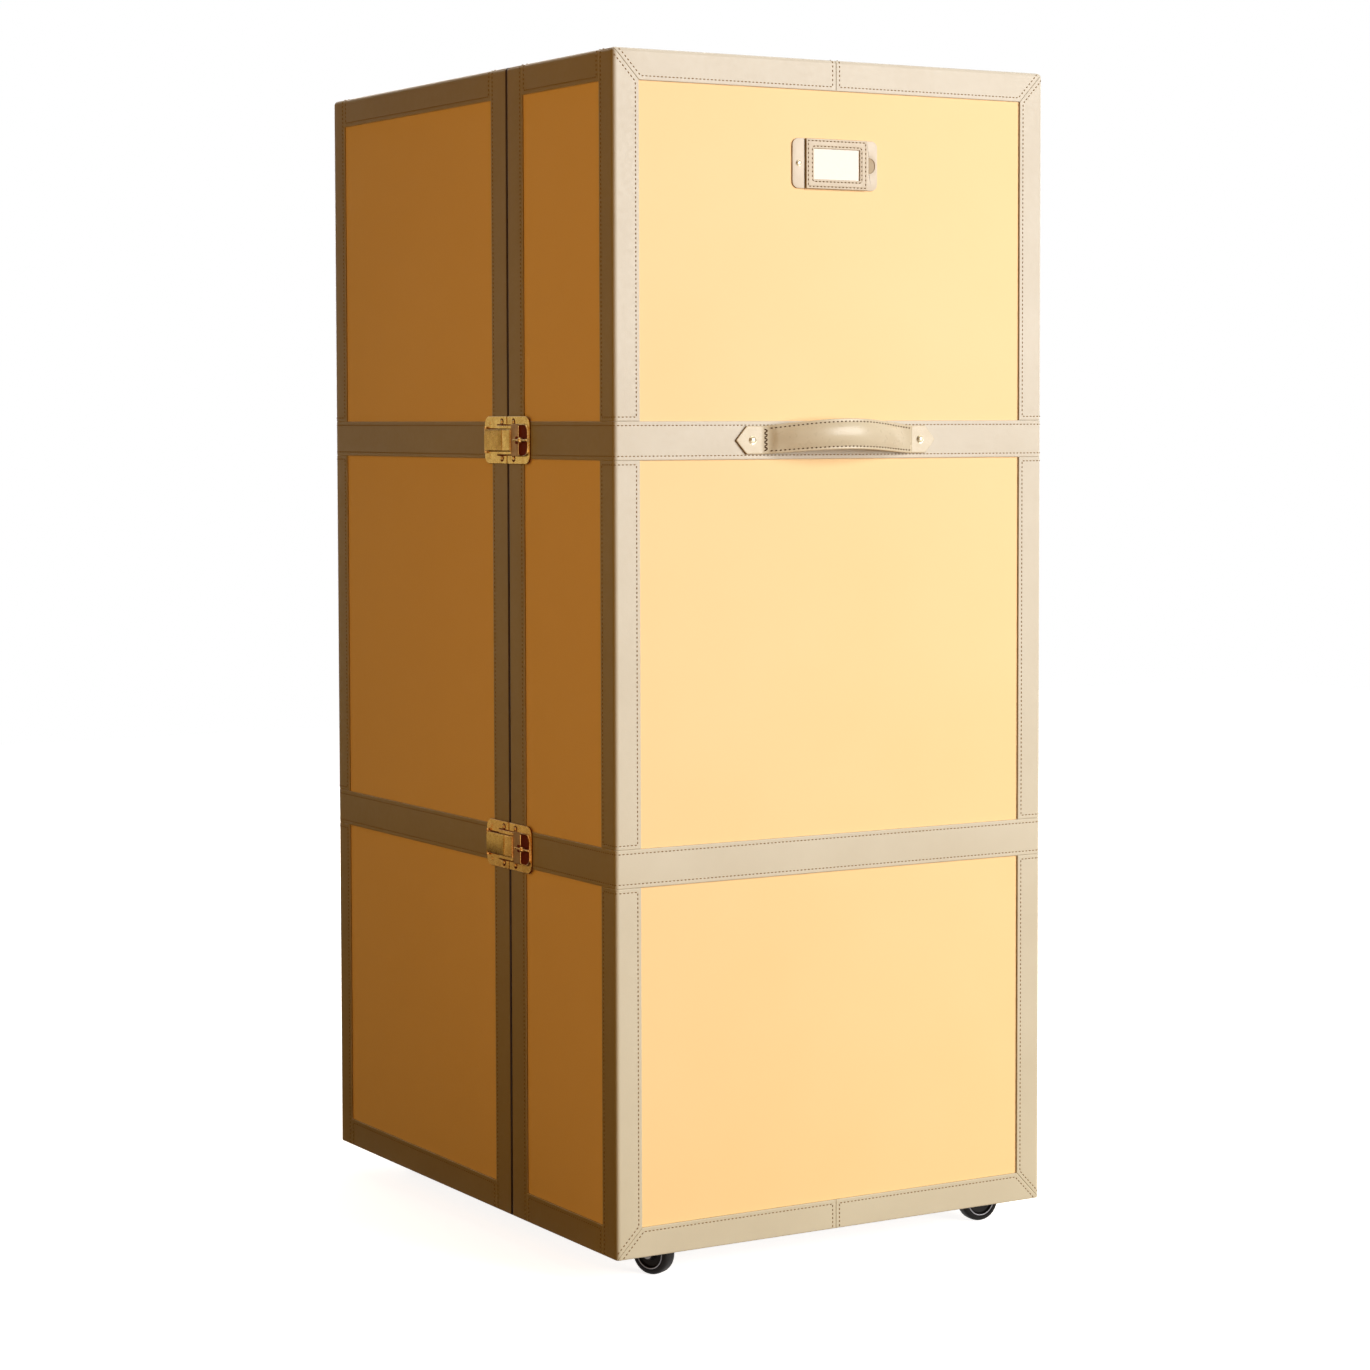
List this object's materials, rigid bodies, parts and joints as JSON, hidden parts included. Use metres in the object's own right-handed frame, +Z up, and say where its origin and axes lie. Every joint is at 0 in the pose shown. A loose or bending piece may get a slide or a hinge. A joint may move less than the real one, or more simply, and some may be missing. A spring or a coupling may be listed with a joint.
{
  "type": "wardrobe trunk",
  "caption": "Tall wardrobe trunk on castors: two hinged canvas-covered halves bound in leather, with brass latches, drawers and a pull-out rail of hangers.",
  "frame": {"origin": "on the floor under the middle of the whole object's box", "axes": "+Z up, -Y out of the front with the handle, -X out of the side with the latches, +X out of the hinge side"},
  "size_m": [0.6008, 0.7636, 1.383],
  "materials": {
    "canvas": "fine matt woven canvas, pale yellow",
    "leather": "smooth cream binding leather, satin",
    "strap_leather": "smooth tan-cream strap leather, waxed",
    "plywood": "birch plywood",
    "lining": "plain cotton lining",
    "brass": "polished",
    "steel": "nickel plated",
    "rubber": "black rubber",
    "black_steel": "black lacquered pressed steel",
    "beech": "oiled beech",
    "card": "uncoated card"
  },
  "bodies": {
    "rear": {"rear_carcass": "plywood", "rear_covering": "canvas", "rear_edge_trim": "leather", "rear_upper_band": "leather", "rear_lower_band": "leather", "rear_lining": "lining", "rear_rim_lip": "brass", "hinge_rear_leaf": "brass", "hinge_pin": "brass", "upper_latch_keeper": "brass", "lower_latch_keeper": "brass", "garment_runner": "steel", "castor_rear_left_mount": "black_steel", "castor_rear_right_mount": "black_steel"},
    "front": {"front_carcass": "plywood", "front_covering": "canvas", "front_edge_trim": "leather", "front_upper_band": "leather", "front_lower_band": "leather", "front_lining": "lining", "hinge_front_leaf": "brass", "upper_latch_plate": "brass", "lower_latch_plate": "brass", "carry_handle": "strap_leather", "handle_rivet_left": "brass", "handle_rivet_right": "brass", "label_backing": "leather", "label_frame": "leather", "label_stud": "brass", "drawer_case": "beech", "castor_front_left_mount": "black_steel", "castor_front_right_mount": "black_steel"},
    "upper_hasp": {"upper_latch_hasp": "brass"},
    "upper_turn": {"upper_latch_turn": "brass"},
    "lower_hasp": {"lower_latch_hasp": "brass"},
    "lower_turn": {"lower_latch_turn": "brass"},
    "card": {"label_card": "card"},
    "drawer_1": {"drawer_1": "beech", "drawer_1_pull": "brass"},
    "drawer_2": {"drawer_2": "beech", "drawer_2_pull": "brass"},
    "drawer_3": {"drawer_3": "beech", "drawer_3_pull": "brass"},
    "garment_rod": {"garment_rod": "steel"},
    "hanger_1": {"hanger_1_wood": "beech", "hanger_1_hook": "steel"},
    "hanger_2": {"hanger_2_wood": "beech", "hanger_2_hook": "steel"},
    "hanger_3": {"hanger_3_wood": "beech", "hanger_3_hook": "steel"},
    "castor_front_left_swivel": {"castor_front_left_fork": "black_steel"},
    "castor_front_left_wheel": {"castor_front_left_wheel": "rubber"},
    "castor_front_right_swivel": {"castor_front_right_fork": "black_steel"},
    "castor_front_right_wheel": {"castor_front_right_wheel": "rubber"},
    "castor_rear_left_swivel": {"castor_rear_left_fork": "black_steel"},
    "castor_rear_left_wheel": {"castor_rear_left_wheel": "rubber"},
    "castor_rear_right_swivel": {"castor_rear_right_fork": "black_steel"},
    "castor_rear_right_wheel": {"castor_rear_right_wheel": "rubber"}
  },
  "joints": [
    {"name": "front_half_hinge", "type": "hinge", "parent": "rear", "child": "front", "pos_m": [0.29745, -0.0982, 0.7], "axis": [0, 0, 1], "range_deg": [0, 180]},
    {"name": "upper_hasp_hinge", "type": "hinge", "parent": "rear", "child": "upper_hasp", "pos_m": [-0.29685, -0.0482, 0.95], "axis": [0, 0, -1], "range_deg": [0, 100]},
    {"name": "upper_thumb_turn", "type": "hinge", "parent": "front", "child": "upper_turn", "pos_m": [-0.29685, -0.1375, 0.95], "axis": [-1, 0, 0], "range_deg": [0, 90]},
    {"name": "lower_hasp_hinge", "type": "hinge", "parent": "rear", "child": "lower_hasp", "pos_m": [-0.29685, -0.0482, 0.473], "axis": [0, 0, -1], "range_deg": [0, 100]},
    {"name": "lower_thumb_turn", "type": "hinge", "parent": "front", "child": "lower_turn", "pos_m": [-0.29685, -0.1375, 0.473], "axis": [-1, 0, 0], "range_deg": [0, 90]},
    {"name": "card_slide", "type": "slide", "parent": "front", "child": "card", "axis": [1, 0, 0], "range_m": [0, 0.07]},
    {"name": "drawer_1_slide", "type": "slide", "parent": "front", "child": "drawer_1", "axis": [0, 1, 0], "range_m": [0, 0.17]},
    {"name": "drawer_2_slide", "type": "slide", "parent": "front", "child": "drawer_2", "axis": [0, 1, 0], "range_m": [0, 0.17]},
    {"name": "drawer_3_slide", "type": "slide", "parent": "front", "child": "drawer_3", "axis": [0, 1, 0], "range_m": [0, 0.17]},
    {"name": "garment_rod_slide", "type": "slide", "parent": "rear", "child": "garment_rod", "axis": [0, -1, 0], "range_m": [0, 0.19]},
    {"name": "hanger_1_swing", "type": "hinge", "parent": "garment_rod", "child": "hanger_1", "pos_m": [0.00115, 0.0371, 1.3214], "axis": [0, 1, 0], "range_deg": [-12, 12]},
    {"name": "hanger_2_swing", "type": "hinge", "parent": "garment_rod", "child": "hanger_2", "pos_m": [0.00115, 0.1271, 1.3214], "axis": [0, 1, 0], "range_deg": [-12, 12]},
    {"name": "hanger_3_swing", "type": "hinge", "parent": "garment_rod", "child": "hanger_3", "pos_m": [0.00115, 0.2171, 1.3214], "axis": [0, 1, 0], "range_deg": [-12, 12]},
    {"name": "castor_front_left_swivel", "type": "hinge", "parent": "front", "child": "castor_front_left_swivel", "pos_m": [-0.22585, -0.2892, 0.06], "axis": [0, 0, 1], "continuous": true},
    {"name": "castor_front_left_roll", "type": "hinge", "parent": "castor_front_left_swivel", "child": "castor_front_left_wheel", "pos_m": [-0.21872, -0.30573, 0.02479], "axis": [0.9182, 0.3961, 0], "continuous": true},
    {"name": "castor_front_right_swivel", "type": "hinge", "parent": "front", "child": "castor_front_right_swivel", "pos_m": [0.22815, -0.2892, 0.06], "axis": [0, 0, 1], "continuous": true},
    {"name": "castor_front_right_roll", "type": "hinge", "parent": "castor_front_right_swivel", "child": "castor_front_right_wheel", "pos_m": [0.24613, -0.29014, 0.02479], "axis": [0.0523, 0.9986, 0], "continuous": true},
    {"name": "castor_rear_left_swivel", "type": "hinge", "parent": "rear", "child": "castor_rear_left_swivel", "pos_m": [-0.22585, 0.3208, 0.06], "axis": [0, 0, 1], "continuous": true},
    {"name": "castor_rear_left_roll", "type": "hinge", "parent": "castor_rear_left_swivel", "child": "castor_rear_left_wheel", "pos_m": [-0.21685, 0.30521, 0.02479], "axis": [0.866, 0.5, 0], "continuous": true},
    {"name": "castor_rear_right_swivel", "type": "hinge", "parent": "rear", "child": "castor_rear_right_swivel", "pos_m": [0.22815, 0.3208, 0.06], "axis": [0, 0, 1], "continuous": true},
    {"name": "castor_rear_right_roll", "type": "hinge", "parent": "castor_rear_right_swivel", "child": "castor_rear_right_wheel", "pos_m": [0.24088, 0.30807, 0.02479], "axis": [0.7071, 0.7071, 0], "continuous": true}
  ]
}
